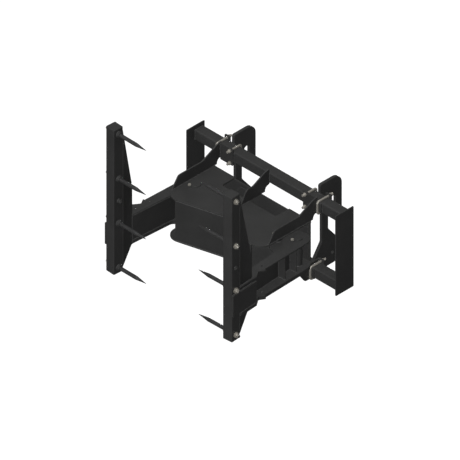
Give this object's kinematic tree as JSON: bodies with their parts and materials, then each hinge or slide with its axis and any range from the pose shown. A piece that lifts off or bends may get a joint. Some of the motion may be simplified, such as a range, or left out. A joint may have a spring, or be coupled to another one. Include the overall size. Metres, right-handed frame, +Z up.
{
  "type": "bale spike grab",
  "caption": "Loader-mounted bale spike grab: two swinging upright posts with inward spikes on a box frame with hitch hooks.",
  "frame": {"origin": "on the ground under the middle of the part's footprint, in the mirror plane", "axes": "+X along the tubes to the part's right as seen from the spikes, +Y towards the loader, +Z up"},
  "size_m": [1.73, 1.4936, 1.44],
  "materials": {
    "black_paint": "satin black powder coat",
    "zinc_plate": "zinc plated",
    "spike_steel": "dark forged steel",
    "rod_chrome": "hard chrome"
  },
  "bodies": {
    "frame": {"box_back_plate": "black_paint", "box_bottom_plate": "black_paint", "box_front_plate": "black_paint", "box_top_plate": "black_paint", "clamp_plates": "black_paint", "clamp_straps": "black_paint", "left_end_plate": "black_paint", "left_gusset": "black_paint", "left_hook_bracket": "black_paint", "lower_saddles": "black_paint", "lower_tube": "black_paint", "middle_gusset": "black_paint", "pivot_pin_bolts": "zinc_plate", "pivot_pins": "black_paint", "right_end_plate": "black_paint", "right_gusset": "black_paint", "right_hook_bracket": "black_paint", "u_bolt_nuts": "zinc_plate", "u_bolts": "zinc_plate", "upper_tube": "black_paint"},
    "left_arm": {"left_arm_bottom_plate": "black_paint", "left_arm_cheek": "black_paint", "left_arm_ribs": "black_paint", "left_arm_top_plate": "black_paint", "left_arm_web": "black_paint", "left_pivot_hub": "black_paint", "left_post": "black_paint", "left_post_caps": "black_paint", "left_post_inner_stiffener": "black_paint", "left_post_outer_stiffener": "black_paint", "left_spike_bushes": "black_paint", "left_spike_nuts": "zinc_plate", "left_spike_washers": "zinc_plate", "left_spikes": "spike_steel", "left_tail_bosses": "black_paint", "left_tail_pin": "black_paint", "left_tail_pin_bolt": "zinc_plate"},
    "right_arm": {"right_arm_bottom_plate": "black_paint", "right_arm_cheek": "black_paint", "right_arm_ribs": "black_paint", "right_arm_top_plate": "black_paint", "right_arm_web": "black_paint", "right_pivot_hub": "black_paint", "right_post": "black_paint", "right_post_caps": "black_paint", "right_post_inner_stiffener": "black_paint", "right_post_outer_stiffener": "black_paint", "right_spike_bushes": "black_paint", "right_spike_nuts": "zinc_plate", "right_spike_washers": "zinc_plate", "right_spikes": "spike_steel", "right_tail_bosses": "black_paint", "right_tail_pin": "black_paint", "right_tail_pin_bolt": "zinc_plate"},
    "cylinder_barrel": {"barrel_eye": "black_paint", "cylinder_barrel": "black_paint", "cylinder_gland": "black_paint"},
    "cylinder_rod": {"cylinder_piston": "black_paint", "cylinder_rod": "rod_chrome", "rod_eye": "black_paint"}
  },
  "joints": [
    {"name": "left_arm_swing", "type": "hinge", "parent": "frame", "child": "left_arm", "pos_m": [-0.47, 0.04278, 0.379], "axis": [0, 0, 1], "range_deg": [-12, 18]},
    {"name": "right_arm_swing", "type": "hinge", "parent": "frame", "child": "right_arm", "pos_m": [0.47, 0.04278, 0.379], "axis": [0, 0, 1], "range_deg": [-18, 12]},
    {"name": "barrel_pivot", "type": "hinge", "parent": "left_arm", "child": "cylinder_barrel", "pos_m": [-0.58001, 0.17276, 0.379], "axis": [0, 0, 1], "range_deg": [-18, 12]},
    {"name": "rod_pivot", "type": "hinge", "parent": "right_arm", "child": "cylinder_rod", "pos_m": [0.58001, 0.17276, 0.379], "axis": [0, 0, 1], "range_deg": [-12, 18]}
  ],
  "couplings": [
    {"joint": "right_arm_swing", "follows": "left_arm_swing", "ratio": -1},
    {"joint": "barrel_pivot", "follows": "left_arm_swing", "ratio": -1},
    {"joint": "rod_pivot", "follows": "left_arm_swing", "ratio": 1}
  ]
}
